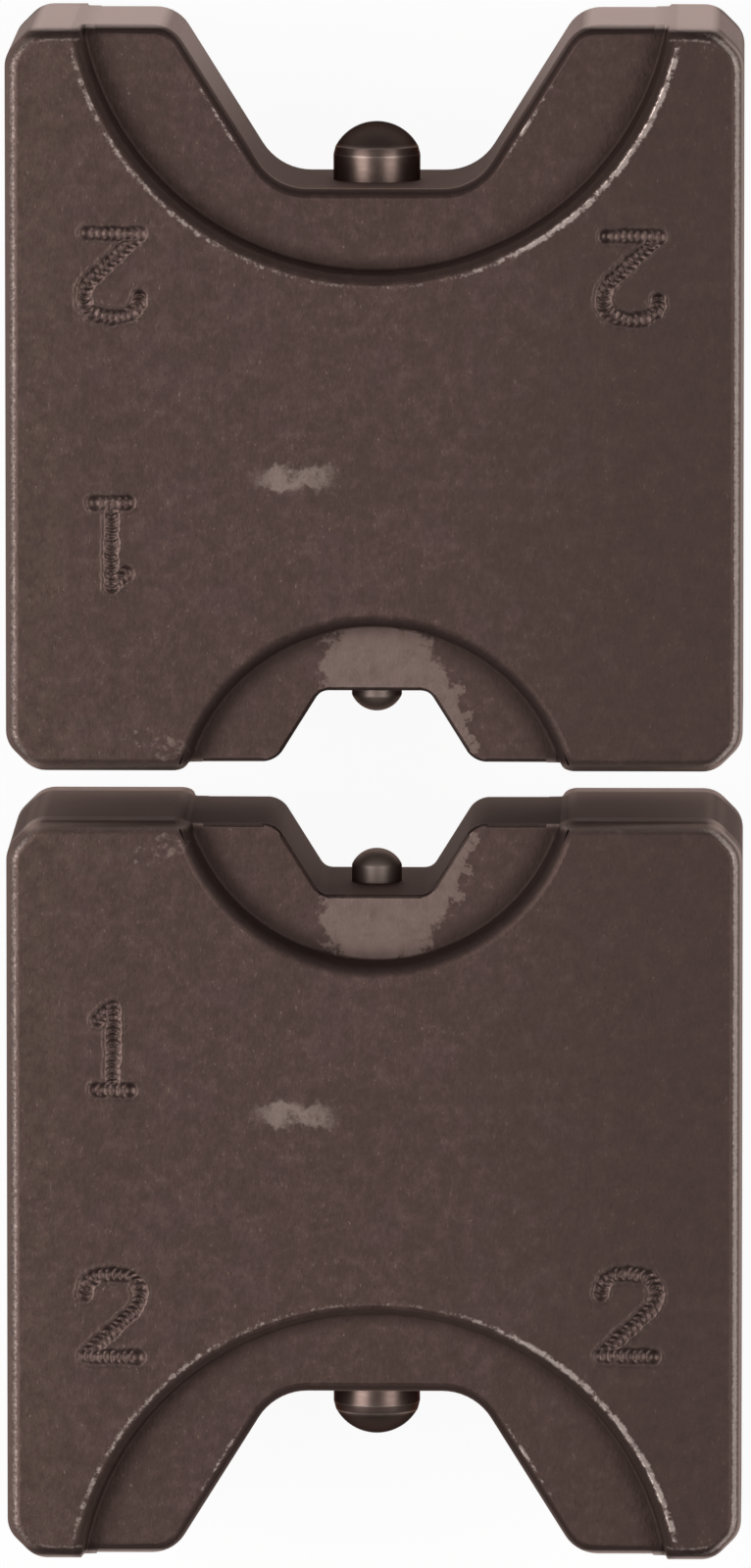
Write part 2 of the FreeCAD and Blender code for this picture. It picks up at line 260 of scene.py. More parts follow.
# Strokes of the numerals, in millimetres from a numeral's middle
NUMERALS = {
    "2": [
        [(-1.45, 1.15), (-1.35, 1.70), (-0.85, 2.10), (0.0, 2.20), (0.85, 2.05), (1.35, 1.60), (1.45, 0.95),
         (1.15, 0.35), (-1.45, -2.10), (1.55, -2.15)],
    ],
    "1": [
        [(-0.75, 1.45), (0.05, 2.15), (0.0, -2.1)],
        [(-0.8, -2.2), (0.9, -2.2)],
    ],
}
# Each numeral and its middle, in millimetres from the block's centre
NUMERAL_PLACES = [("2", -13.5, 6.5), ("2", 13.2, 6.4), ("1", -13.5, -7.5)]
# The dots: their pitch, how far they stray, their radii and depths, the share that stays of an older dot's
# mark under a new one, and the burr round each one
PEEN_PITCH = 0.34
DOT_STRAY = 0.03
DOT_RADII = (0.34, 0.41)
DOT_DEPTHS = (0.12, 0.19)
OLD_DOT_SHARE = 0.35
BURR_REACH = 0.24
BURR_HEIGHT = 0.02
# The fine square grid that a numeral is struck into
FIELD_HALF = 2.9
FIELD_CELLS = 92


def peen(shape, verts, centre, text, turned, chance):
    """Strikes a dotted numeral into a fine grid of the front face."""
    depth_mark = shape.verts.layers.float["peened"]
    burr_mark = shape.verts.layers.float["burr"]
    nearby = kdtree.KDTree(len(verts))
    for index, vert in enumerate(verts):
        nearby.insert(vert.co, index)
    nearby.balance()
    level = verts[0].co.z
    for stroke in NUMERALS[text]:
        for dot in dots_along(stroke, PEEN_PITCH):
            stray = Vector((chance.uniform(-DOT_STRAY, DOT_STRAY), chance.uniform(-DOT_STRAY, DOT_STRAY)))
            place = centre + (-1 if turned else 1) * (dot + stray)
            radius = chance.uniform(*DOT_RADII)
            depth = chance.uniform(*DOT_DEPTHS)
            reach = radius + BURR_REACH
            middle = Vector((place.x * MM, place.y * MM, level))
            for _, index, _ in nearby.find_range(middle, (reach + 0.1) * MM):
                vert = verts[index]
                away = math.hypot(vert.co.x - middle.x, vert.co.y - middle.y) / MM
                if away < radius:
                    hollow = 1 - (away / radius) ** 2
                    vert[depth_mark] = max(hollow, OLD_DOT_SHARE * vert[depth_mark])
                    vert.co.z = level - depth * hollow * MM
                elif away < reach and vert[depth_mark] == 0.0:
                    swell = math.sin(math.pi * (away - radius) / (reach - radius))
                    vert[burr_mark] = max(vert[burr_mark], swell)
                    vert.co.z = max(vert.co.z, level + BURR_HEIGHT * swell * MM)


def die_half(side_name, side):
    """One half: its CAD shape with worn edges, and numerals peened into the front face."""
    node_name = f"{side_name}_die_block"
    shape = solid_copy(node_name)
    weights = shape.edges.layers.float.new("bevel_weight_edge")
    for edge in shape.edges:
        if edge.is_manifold and edge.calc_face_angle() > SHARP_ANGLE:
            start, end = (from_block_centre(vert.co, side) for vert in edge.verts)
            edge[weights] = edge_radius(start, end) / BEVEL_REACH
    piece = link_piece(f"{side_name}_half_worn", shape)
    bevel = piece.modifiers.new("worn_edges", "BEVEL")
    bevel.limit_method = "WEIGHT"
    bevel.width = BEVEL_REACH * MM
    bevel.segments = 3
    bevel.profile = 0.5
    bevel.use_clamp_overlap = False
    apply_modifiers(piece)

    shape = bmesh.new()
    shape.from_mesh(piece.data)
    bmesh.ops.remove_doubles(shape, verts=shape.verts[:], dist=BEVEL_DOUBLES * MM)
    shape.verts.layers.float.new("peened")
    shape.verts.layers.float.new("burr")
    even = shape.verts.layers.float_vector.new("even_normal")
    for vert in shape.verts:
        broad = [face for face in vert.link_faces if face.calc_area() > BROAD_FACE * MM * MM]
        weighed = broad if len(broad) == 1 else vert.link_faces
        vert[even] = sum((face.normal * face.calc_area() for face in weighed), Vector()).normalized()
    fronts = [face for face in shape.faces if face.normal.z > 0.9999]
    front = max(fronts, key=lambda face: face.calc_area())
    for vert in front.verts:
        vert[even] = (0.0, 0.0, 1.0)
    outline = list(front.edges)
    bmesh.ops.delete(shape, geom=[front], context="FACES_ONLY")
    fields = []
    for text, x, y in NUMERAL_PLACES:
        centre = Vector((x, side * (y + BLOCK_CENTRE)))
        level = Matrix.Translation((centre.x * MM, centre.y * MM, FRONT_FACE))
        grid = bmesh.ops.create_grid(
            shape, x_segments=FIELD_CELLS, y_segments=FIELD_CELLS, size=FIELD_HALF * MM, matrix=level,
        )
        fields.append((text, centre, grid["verts"]))
        # Each border edge once, and in the same order in every run
        border = [edge for vert in grid["verts"] for edge in vert.link_edges if edge.is_boundary]
        outline += list(dict.fromkeys(border))
    bmesh.ops.triangle_fill(shape, use_beauty=True, edges=outline, normal=(0.0, 0.0, 1.0))
    chance = random.Random(17 * (side + 2))
    for text, centre, verts in fields:
        peen(shape, verts, centre, text, side > 0, chance)
    shape.normal_update()
    # Copies, since the layer's own vectors are gone once the bmesh is freed
    normals = [vert[even].copy() if vert[even].length > 0.5 else vert.normal.copy() for vert in shape.verts]
    shape.to_mesh(piece.data)
    shape.free()
    piece.data.shade_smooth()
    piece.data.normals_split_custom_set_from_vertices(normals)
    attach(piece, f"{side_name}_die")
    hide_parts(node_name)
    return piece


# A pin's number of sides, and the round on its crisp turned edges
TURNED_STEPS = 96
CRISP_ROUND = 0.035


def arc_points(centre_height, radius, first, last, steps):
    """Points of a pin's outline on an arc, as radius and height, from one angle to another."""
    turns = [first + (last - first) * step / steps for step in range(steps + 1)]
    return [(radius * math.cos(turn), centre_height + radius * math.sin(turn)) for turn in turns]


def indenter(name, body, floor_y, points, outline, crisp_heights):
    """A turned pin with its axis along the stroke, standing in a nest floor."""
    shape = bmesh.new()
    previous = None
    axis_height = BLOCK_THICKNESS / 2 * MM
    for radius, height in outline:
        vert = shape.verts.new((radius * MM, (floor_y + points * height) * MM, axis_height))
        if previous:
            shape.edges.new((previous, vert))
        previous = vert
    bmesh.ops.spin(
        shape, geom=shape.verts[:] + shape.edges[:], cent=(0.0, 0.0, axis_height), axis=(0.0, 1.0, 0.0),
        angle=2 * math.pi, steps=TURNED_STEPS, use_merge=True,
    )
    bmesh.ops.remove_doubles(shape, verts=shape.verts[:], dist=CAD_DOUBLES * MM)
    bmesh.ops.recalc_face_normals(shape, faces=shape.faces[:])
    rings = []
    for edge in shape.edges:
        heights = [points * (vert.co.y / MM - floor_y) for vert in edge.verts]
        if any(max(abs(height - crisp) for height in heights) < TOLERANCE for crisp in crisp_heights):
            rings.append(edge)
    bmesh.ops.bevel(
        shape, geom=rings, affect="EDGES", offset=CRISP_ROUND * MM, offset_type="OFFSET", segments=2,
        profile=0.5, material=-1,
    )
    piece = link_piece(f"{name}_turned", shape)
    normals = piece.modifiers.new("flat_faces_flat", "WEIGHTED_NORMAL")
    normals.keep_sharp = False
    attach(piece, body)
    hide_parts(name)
    return piece


# Outlines of the pins, as radius and height over the nest floor, from the shank's end to the dome's top
LARGE_PIN_OUTLINE = [
    (0.0, -8.0), (1.85, -8.0), (2.25, -7.6), (2.25, 0.0), (2.25, 1.30), (2.14, 1.72),
    *arc_points(0.58, 2.42, math.radians(29.8), math.radians(90), 22),
]
SMALL_PIN_OUTLINE = [
    (0.0, -5.0), (0.9, -5.0), (1.3, -4.6), (1.3, 0.0), (1.3, 0.84),
    *arc_points(0.28, 1.42, math.radians(26), math.radians(90), 18),
]

halves = {}
pins = {}
for side_name, side in (("upper", 1), ("lower", -1)):
    body = f"{side_name}_die"
    halves[side_name] = die_half(side_name, side)
    pins[f"{side_name}_large"] = indenter(
        f"{side_name}_large_indenter", body, side * LARGE_NEST_FLOOR, side, LARGE_PIN_OUTLINE, (1.30, 1.72),
    )
    pins[f"{side_name}_small"] = indenter(
        f"{side_name}_small_indenter", body, side * SMALL_NEST_FLOOR, -side, SMALL_PIN_OUTLINE, (0.84,),
    )


# Finishes

def distance_band(tree, distance, centre, half_width):
    """1 where a distance in millimetres is at its centre, falling smoothly to 0 at half_width from it."""
    off = add_node(tree, "ShaderNodeMath", [("operation", "SUBTRACT"), (1, centre)], _0=distance)
    away = add_node(tree, "ShaderNodeMath", [("operation", "ABSOLUTE")], _0=off.outputs[0])
    return add_node(
        tree, "ShaderNodeMapRange",
        [("interpolation_type", "SMOOTHSTEP"), ("From Min", half_width), ("From Max", 0.0)],
        Value=away.outputs[0],
    ).outputs[0]


def ragged(tree, mask, noise, low, high):
    """A mask broken up by a noise: the sum of both has to pass from low to high."""
    both = add_node(tree, "ShaderNodeMath", [("operation", "ADD")], _0=mask, _1=noise)
    cut = add_node(
        tree, "ShaderNodeMapRange",
        [("interpolation_type", "SMOOTHSTEP"), ("From Min", low), ("From Max", high)], Value=both.outputs[0],
    )
    shown = add_node(tree, "ShaderNodeMath", [("operation", "MULTIPLY"), ("use_clamp", True)],
                     _0=cut.outputs[0], _1=mask)
    return shown.outputs[0]


def from_centre(tree, place, centre_y):
    """Distance in the front face's plane from a recess centre, in millimetres."""
    offset = add_node(
        tree, "ShaderNodeVectorMath", [("operation", "SUBTRACT"), (1, (0.0, centre_y, 0.0))], _0=place,
    )
    flat = add_node(
        tree, "ShaderNodeVectorMath", [("operation", "MULTIPLY"), (1, (1.0, 1.0, 0.0))], _0=offset.outputs[0],
    )
    return add_node(
        tree, "ShaderNodeVectorMath", [("operation", "LENGTH")], _0=flat.outputs[0],
    ).outputs["Value"]


def spot(tree, place, centre, reach, full=0.85):
    """1 inside an ellipse on the front, out to a share of its reach, and 0 at its rim."""
    offset = add_node(
        tree, "ShaderNodeVectorMath", [("operation", "SUBTRACT"), (1, (*centre, 0.0))], _0=place,
    )
    scaled = add_node(
        tree, "ShaderNodeVectorMath", [("operation", "MULTIPLY"), (1, (1 / reach[0], 1 / reach[1], 0.0))],
        _0=offset.outputs[0],
    )
    away = add_node(tree, "ShaderNodeVectorMath", [("operation", "LENGTH")], _0=scaled.outputs[0])
    return add_node(
        tree, "ShaderNodeMapRange",
        [("interpolation_type", "SMOOTHSTEP"), ("From Min", 1.0), ("From Max", full)],
        Value=away.outputs["Value"],
    ).outputs[0]


def outline_distance(tree, across, along):
    """How far outside the block's outline a point is, in millimetres, from its |x| and |y|."""
    side = add_node(tree, "ShaderNodeMath", [("operation", "SUBTRACT"), (1, BLOCK_WIDTH / 2)], _0=across)
    end = add_node(tree, "ShaderNodeMath", [("operation", "SUBTRACT"), (1, BLOCK_LENGTH / 2)], _0=along)
    sum_of_both = add_node(tree, "ShaderNodeMath", [("operation", "ADD")], _0=across, _1=along)
    corner_reach = (BLOCK_WIDTH + BLOCK_LENGTH) / 2 - CORNER_CUT
    past = add_node(tree, "ShaderNodeMath", [("operation", "SUBTRACT"), (1, corner_reach)],
                    _0=sum_of_both.outputs[0])
    corner = add_node(tree, "ShaderNodeMath", [("operation", "MULTIPLY"), (1, math.sqrt(0.5))],
                      _0=past.outputs[0])
    straight = add_node(tree, "ShaderNodeMath", [("operation", "MAXIMUM")],
                        _0=side.outputs[0], _1=end.outputs[0])
    return add_node(tree, "ShaderNodeMath", [("operation", "SMOOTH_MAX"), (2, CORNER_SOFTENING)],
                    _0=straight.outputs[0], _1=corner.outputs[0]).outputs[0]


def painted(tree, colour, mask, hex_colour, strength):
    """A colour with another laid over it where a mask is, up to a strength."""
    amount = add_node(tree, "ShaderNodeMath", [("operation", "MULTIPLY"), ("use_clamp", True), (1, strength)],
                      _0=mask)
    return add_node(
        tree, "ShaderNodeMix", [("data_type", "RGBA"), (7, linear(hex_colour))],
        _0=amount.outputs[0], _6=colour,
    ).outputs[2]


def union(tree, masks):
    """The highest of several masks."""
    total = masks[0]
    for mask in masks[1:]:
        total = add_node(tree, "ShaderNodeMath", [("operation", "MAXIMUM")], _0=total, _1=mask).outputs[0]
    return total


def product(tree, masks):
    """Several masks multiplied together."""
    total = masks[0]
    for mask in masks[1:]:
        total = add_node(tree, "ShaderNodeMath", [("operation", "MULTIPLY")], _0=total, _1=mask).outputs[0]
    return total


def half_coordinates(tree, side):
    """Object coordinates as millimetres from the block's centre, the large nest at +Y on both halves."""
    coordinates = add_node(tree, "ShaderNodeTexCoord")
    return add_node(
        tree, "ShaderNodeMapping",
        [("Scale", (1000.0, side * 1000.0, 1000.0)),
         ("Location", (0.0, -BLOCK_CENTRE, -BLOCK_THICKNESS / 2))],
        Vector=coordinates.outputs["Object"],
    ).outputs[0]


# The foot of the large nest's flanks from the block's centre, and their lean from the stroke
FLANK_FOOT_X = 5.15
FLANK_FOOT_Y = LARGE_NEST_FLOOR - BLOCK_CENTRE
FLANK_LEAN = math.radians(32.0)


def black_oxide(name, side):
    """Black oxide over ground tool steel: a dark satin brown that has worn through to bare steel on the
    edges, with olive and purplish blotches, fine slanting grit marks and a few rubbed patches, and with
    painted light and shade on the face, chamfers, walls, recesses and numerals."""
    material = bpy.data.materials.new(name)
    material.use_nodes = True
    tree = material.node_tree
    shader = tree.nodes["Principled BSDF"]
    place = half_coordinates(tree, side)
    apart = add_node(tree, "ShaderNodeSeparateXYZ", _0=place)
    across = add_node(tree, "ShaderNodeMath", [("operation", "ABSOLUTE")], _0=apart.outputs["X"]).outputs[0]
    along = add_node(tree, "ShaderNodeMath", [("operation", "ABSOLUTE")], _0=apart.outputs["Y"]).outputs[0]
    level = add_node(tree, "ShaderNodeMath", [("operation", "ABSOLUTE")], _0=apart.outputs["Z"]).outputs[0]

    # Blotches about 4 mm and 0.8 mm across
    blotch = add_node(tree, "ShaderNodeTexNoise", [("Scale", 0.25), ("Detail", 3.0), ("Roughness", 0.6)],
                      Vector=place)
    fine_blotch = add_node(
        tree, "ShaderNodeTexNoise", [("Scale", 1.3), ("Detail", 4.0), ("Roughness", 0.65)], Vector=place,
    )
    # Grit marks about 0.1 mm wide and 0.25 mm long, slanting across the stroke
    grit_place = add_node(
        tree, "ShaderNodeMapping",
        [("Rotation", (0.0, 0.0, math.radians(-28.0))), ("Scale", (1.0, 0.4, 1.0))], Vector=place,
    )
    grit = add_node(tree, "ShaderNodeTexNoise", [("Scale", 9.0), ("Detail", 2.0), ("Roughness", 0.5)],
                    Vector=grit_place.outputs[0])
    # Scratches about 0.13 mm wide and 0.45 mm long, slanting the other way
    scratch_place = add_node(
        tree, "ShaderNodeMapping",
        [("Rotation", (0.0, 0.0, math.radians(38.0))), ("Scale", (1.0, 0.3, 1.0))], Vector=place,
    )
    scratches = add_node(tree, "ShaderNodeTexNoise", [("Scale", 7.5), ("Detail", 2.0), ("Roughness", 0.5)],
                         Vector=scratch_place.outputs[0])
    # Breaks in the worn lines, about 0.4 mm long
    breaks = add_node(tree, "ShaderNodeTexNoise", [("Scale", 2.2), ("Detail", 3.0), ("Roughness", 0.6)],
                      Vector=place)
    # Flakes of oxide left on the worn lines, about 0.15 mm across
    speckle = add_node(tree, "ShaderNodeTexNoise", [("Scale", 5.6), ("Detail", 3.0), ("Roughness", 0.72)],
                       Vector=place)
    # Fine grain of the oxide, about 0.25 mm wide and 0.4 mm long, nearly along the stroke
    grain_place = add_node(
        tree, "ShaderNodeMapping",
        [("Rotation", (0.0, 0.0, math.radians(9.0))), ("Scale", (1.0, 0.6, 1.0))], Vector=place,
    )
    uneven = add_node(tree, "ShaderNodeTexNoise", [("Scale", 4.0), ("Detail", 5.0), ("Roughness", 0.65)],
                      Vector=grain_place.outputs[0])

    # Colour: two browns, then blotches and grain, and painted shade darkening the face towards the right
    warm = add_node(
        tree, "ShaderNodeMapRange", [("From Min", 0.35), ("From Max", 0.65)], Value=blotch.outputs["Fac"],
    )
    base = add_node(
        tree, "ShaderNodeMix", [("data_type", "RGBA"), (6, linear("594744")), (7, linear("564540"))],
        _0=warm.outputs[0],
    ).outputs[2]
    dark_blotch = add_node(
        tree, "ShaderNodeMapRange", [("From Min", 0.55), ("From Max", 0.35)],
        Value=fine_blotch.outputs["Fac"],
    )
    base = painted(tree, base, dark_blotch.outputs[0], "4A3C38", 0.42)
    purple = add_node(
        tree, "ShaderNodeMapRange", [("From Min", 0.55), ("From Max", 0.75)],
        Value=fine_blotch.outputs["Fac"],
    )
    base = painted(tree, base, purple.outputs[0], "6E5955", 0.5)
    pale_grain = add_node(
        tree, "ShaderNodeMapRange", [("From Min", 0.53), ("From Max", 0.70)], Value=uneven.outputs["Fac"],
    )
    base = painted(tree, base, pale_grain.outputs[0], "74605C", 0.2)
    dark_grain = add_node(
        tree, "ShaderNodeMapRange", [("From Min", 0.47), ("From Max", 0.30)], Value=uneven.outputs["Fac"],
    )
    base = painted(tree, base, dark_grain.outputs[0], "40332E", 0.28)
    # Painted shade: the face grows darker towards the right, where less light falls
    right_shade = add_node(
        tree, "ShaderNodeMapRange",
        [("interpolation_type", "SMOOTHSTEP"), ("From Min", 0.0), ("From Max", 17.0)],
        Value=apart.outputs["X"],
    )
    on_face = add_node(
        tree, "ShaderNodeMapRange",
        [("From Min", 6.5), ("From Max", 7.5), ("To Min", 0.35), ("To Max", 1.0)], Value=level,
    ).outputs[0]
    base = painted(tree, base, product(tree, [right_shade.outputs[0], on_face]), "463935", 0.55)

    # Light flecks of grit and scratches, gathered in clusters and fewer on the right, and dark specks
    gathered = add_node(
        tree, "ShaderNodeMapRange", [("From Min", 0.44), ("From Max", 0.64)],
        Value=fine_blotch.outputs["Fac"],
    )
    light_grit = add_node(
        tree, "ShaderNodeMapRange", [("From Min", 0.66), ("From Max", 0.76)], Value=grit.outputs["Fac"],
    )
    light_scratch = add_node(
        tree, "ShaderNodeMapRange", [("From Min", 0.68), ("From Max", 0.77)],
        Value=scratches.outputs["Fac"],
    )
    marks = union(tree, [light_grit.outputs[0], light_scratch.outputs[0]])
    fewer_on_the_right = add_node(
        tree, "ShaderNodeMapRange",
        [("From Min", -8.0), ("From Max", 10.0), ("To Min", 1.0), ("To Max", 0.4)],
        Value=apart.outputs["X"],
    )
    flecks = product(tree, [marks, gathered.outputs[0], fewer_on_the_right.outputs[0]])
    fleck_colour = add_node(
        tree, "ShaderNodeMix", [("data_type", "RGBA"), (6, linear("9C8B6E")), (7, linear("AA989C"))],
        _0=warm.outputs[0],
    ).outputs[2]
    fleck_share = add_node(tree, "ShaderNodeMath", [("operation", "MULTIPLY"), (1, 0.55)], _0=flecks)
    base = add_node(
        tree, "ShaderNodeMix", [("data_type", "RGBA")], _0=fleck_share.outputs[0], _6=base, _7=fleck_colour,
    ).outputs[2]
    dark_grit = add_node(
        tree, "ShaderNodeMapRange", [("From Min", 0.36), ("From Max", 0.26)], Value=grit.outputs["Fac"],
    )
    base = painted(tree, base, dark_grit.outputs[0], "3A2E2B", 0.5)

    # Olive stain inside the left edge
    outside = outline_distance(tree, across, along)
    stain = add_node(
        tree, "ShaderNodeMapRange", [("From Min", 0.42), ("From Max", 0.62)], Value=breaks.outputs["Fac"],
    ).outputs[0]
    left_side = add_node(
        tree, "ShaderNodeMapRange", [("From Min", -9.0), ("From Max", -15.0)], Value=apart.outputs["X"],
    ).outputs[0]
    left_stain = product(tree, [distance_band(tree, outside, -1.6, 2.6), stain, left_side])
    base = painted(tree, base, left_stain, "62534A", 0.45)

    # Worn lines along the edges: strong on the right, fainter on the left and at the large nest's end. Beside
    # them, painted light on the side chamfers and a painted highlight on the right edge
    near_face = add_node(
        tree, "ShaderNodeMapRange", [("From Min", 7.3), ("From Max", 7.6)], Value=level,
    ).outputs[0]
    rightward = add_node(
        tree, "ShaderNodeMapRange", [("From Min", 15.0), ("From Max", 18.0), ("To Max", 1.08)],
        Value=apart.outputs["X"],
    ).outputs[0]
    large_end = add_node(
        tree, "ShaderNodeMapRange", [("From Min", 17.5), ("From Max", 18.5), ("To Max", 0.76)],
        Value=apart.outputs["Y"],
    ).outputs[0]
    leftward = add_node(
        tree, "ShaderNodeMapRange", [("From Min", -15.0), ("From Max", -18.0), ("To Max", 0.8)],
        Value=apart.outputs["X"],
    ).outputs[0]
    outer_line = product(tree, [near_face, union(tree, [
        product(tree, [distance_band(tree, outside, -0.34, 0.32), rightward]),
        product(tree, [distance_band(tree, outside, -0.40, 0.46), leftward]),
        product(tree, [distance_band(tree, outside, -0.64, 0.26), large_end]),
    ])])
    outer_wear = ragged(tree, outer_line, speckle.outputs["Fac"], 1.05, 1.62)
    # Painted light: a lighter band on the left and right chamfers, where they face the soft boxes
    outer_chamfer_light = product(tree, [
        distance_band(tree, outside, -0.12, 0.38), near_face, union(tree, [rightward, leftward]),
    ])
    # Painted highlight: a thin light strip along the right side's edge
    right_edge_highlight = product(tree, [distance_band(tree, outside, 0.0, 0.2), near_face, rightward])
    large_ring = from_centre(tree, place, RECESS_CENTRE)
    small_ring = from_centre(tree, place, -RECESS_CENTRE)
    away_from_middle = add_node(
        tree, "ShaderNodeMapRange",
        [("interpolation_type", "SMOOTHSTEP"), ("From Min", 3.0), ("From Max", 9.0),
         ("To Min", 0.72), ("To Max", 1.0)], Value=across,
    ).outputs[0]
    more_on_the_right = add_node(
        tree, "ShaderNodeMapRange",
        [("From Min", -14.0), ("From Max", 10.0), ("To Min", 0.82), ("To Max", 1.05)],
        Value=apart.outputs["X"],
    ).outputs[0]
    broken = add_node(
        tree, "ShaderNodeMapRange",
        [("From Min", 0.38), ("From Max", 0.60), ("To Min", 0.75), ("To Max", 1.1)],
        Value=breaks.outputs["Fac"],
    ).outputs[0]
    below_chamfer = add_node(
        tree, "ShaderNodeMapRange", [("From Min", 18.5), ("From Max", 18.2)], Value=apart.outputs["Y"],
    ).outputs[0]
    large_line = product(tree, [distance_band(tree, large_ring, LARGE_RIM_RADIUS + 0.12, 0.48), near_face,
                                away_from_middle, more_on_the_right, broken, below_chamfer])
    large_wear = ragged(tree, large_line, speckle.outputs["Fac"], 1.12, 1.55)

    # Distance from a flank of the large nest, which leans out from the corner of its floor
    corner_past = FLANK_FOOT_Y * math.sin(FLANK_LEAN) - FLANK_FOOT_X * math.cos(FLANK_LEAN)
    lean = add_node(
        tree, "ShaderNodeMath",
        [("operation", "MULTIPLY_ADD"), (1, math.cos(FLANK_LEAN)), (2, corner_past)], _0=across,
    )
    in_flank = add_node(
        tree, "ShaderNodeMath", [("operation", "MULTIPLY_ADD"), (1, -math.sin(FLANK_LEAN))],
        _0=apart.outputs["Y"], _2=lean.outputs[0],
    )
    recess_level = distance_band(tree, level, RECESS_LEVEL, 0.2)
    flank_zone = distance_band(tree, apart.outputs["Y"], 14.2, 5.6)
    nest_line = product(tree, [
        distance_band(tree, in_flank.outputs[0], 0.52, 0.36), recess_level, flank_zone, broken,
    ])
    nest_wear = ragged(tree, nest_line, speckle.outputs["Fac"], 1.22, 1.62)

    # Rubbed patches with ragged rims: in the small recess, and a smear and a scuff on the face
    warp = add_node(tree, "ShaderNodeTexNoise", [("Scale", 0.8), ("Detail", 5.0), ("Roughness", 0.65)],
                    Vector=place)
    warp_offset = add_node(
        tree, "ShaderNodeVectorMath", [("operation", "MULTIPLY_ADD"), (1, (4.0, 4.0, 0.0)),
                                       (2, (-2.0, -2.0, 0.0))], _0=warp.outputs["Color"],
    )
    warped = add_node(tree, "ShaderNodeVectorMath", [("operation", "ADD")],
                      _0=place, _1=warp_offset.outputs[0]).outputs[0]
    broken_rub = add_node(
        tree, "ShaderNodeMapRange", [("From Min", 0.45), ("From Max", 0.62)], Value=breaks.outputs["Fac"],
    ).outputs[0]
    recess_patch = union(tree, [
        spot(tree, warped, (0.1, -13.8), (3.3, 2.5)),
        spot(tree, warped, (3.3, -15.2), (1.1, 1.5)),
        spot(tree, warped, (4.2, -17.2), (0.7, 1.9)),
    ])
    uneven_rub = add_node(
        tree, "ShaderNodeMapRange",
        [("From Min", 0.3), ("From Max", 0.6), ("To Min", 0.72), ("To Max", 1.0)],
        Value=fine_blotch.outputs["Fac"],
    ).outputs[0]
    rubbed = product(tree, [uneven_rub, union(tree, [
        product(tree, [recess_patch, recess_level]),
        product(tree, [spot(tree, warped, (-10.9, -17.7), (1.2, 0.55)), near_face, broken_rub]),
    ])])
    smear = ragged(
        tree, spot(tree, warped, (-4.2, -4.0), (3.9, 1.15), 0.0), speckle.outputs["Fac"], 0.65, 1.45,
    )

    # Painted shade on the recess walls and on the floor at their feet, fading away from the walls
    large_band = add_node(
        tree, "ShaderNodeMapRange",
        [("From Min", LARGE_RIM_RADIUS - 0.05), ("From Max", LARGE_RIM_RADIUS - 0.2)], Value=large_ring,
    ).outputs[0]
    large_foot = add_node(
        tree, "ShaderNodeMapRange",
        [("interpolation_type", "SMOOTHSTEP"), ("From Min", LARGE_RIM_RADIUS - 1.5),
         ("From Max", LARGE_RIM_RADIUS - 0.4)], Value=large_ring,
    ).outputs[0]
    large_wall_shade = product(tree, [large_band, large_foot])
    small_band = add_node(
        tree, "ShaderNodeMapRange",
        [("From Min", SMALL_RIM_RADIUS + 0.1), ("From Max", SMALL_RIM_RADIUS - 0.2)], Value=small_ring,
    ).outputs[0]
    small_foot = add_node(
        tree, "ShaderNodeMapRange",
        [("interpolation_type", "SMOOTHSTEP"), ("From Min", SMALL_RIM_RADIUS - 2.0),
         ("From Max", SMALL_RIM_RADIUS - 0.5)], Value=small_ring,
    ).outputs[0]
    small_wall_shade = product(tree, [small_band, small_foot])
    worn = union(tree, [outer_wear, large_wear, nest_wear])
    # Painted shade on the recess walls and the floor at their feet
    base = painted(tree, base, large_wall_shade, "40342F", 0.5)
    base = painted(tree, base, small_wall_shade, "463A36", 0.6)
    base = painted(tree, base, rubbed, "806D67", 0.9)
    base = painted(tree, base, smear, "8E7D76", 0.85)
    # Painted light on the side chamfers
    base = painted(tree, base, outer_chamfer_light, "7F6B65", 0.7)
    # Painted highlight along the right edge
    base = painted(tree, base, right_edge_highlight, "C4B3AC", 0.75)

    # End chamfers: painted shade at the large nest's end, painted light at the small one's
    large_chamfer_shade = product(tree, [
        add_node(tree, "ShaderNodeMapRange", [("From Min", 18.55), ("From Max", 18.75)],
                 Value=apart.outputs["Y"]).outputs[0],
        distance_band(tree, outside, -0.28, 0.5),
    ])
    # Painted shade on the large nest's end chamfer
    base = painted(tree, base, large_chamfer_shade, "3A2F2C", 0.8)
    # Painted light on the small nest's end chamfer
    small_chamfer_light = product(tree, [
        add_node(tree, "ShaderNodeMapRange", [("From Min", -18.6), ("From Max", -18.9)],
                 Value=apart.outputs["Y"]).outputs[0],
        distance_band(tree, outside, -0.15, 0.5),
    ])
    base = painted(tree, base, small_chamfer_light, "A08C84", 0.8)
    base = painted(tree, base, worn, "C4B3AC", 0.85)

    # Walls: a plain brown in the nests, painted shade on the large nest's chamfers, a worn light lip at its
    # floor corners, painted light growing towards the large nest's mouth, and painted reflection of the white
    # floor on both end faces
    wall = add_node(
        tree, "ShaderNodeMapRange", [("From Min", 5.75), ("From Max", 5.5)], Value=level,
    ).outputs[0]
    mouth = add_node(
        tree, "ShaderNodeMapRange",
        [("interpolation_type", "SMOOTHSTEP"), ("From Min", 11.5), ("From Max", 19.0)],
        Value=apart.outputs["Y"],
    ).outputs[0]
    inner = add_node(
        tree, "ShaderNodeMapRange", [("From Min", 19.05), ("From Max", 18.8)], Value=across,
    ).outputs[0]
    large_nest = add_node(
        tree, "ShaderNodeMapRange", [("From Min", 8.0), ("From Max", 9.0)], Value=apart.outputs["Y"],
    ).outputs[0]
    base = painted(tree, base, product(tree, [wall, inner]), "574843", 0.8)
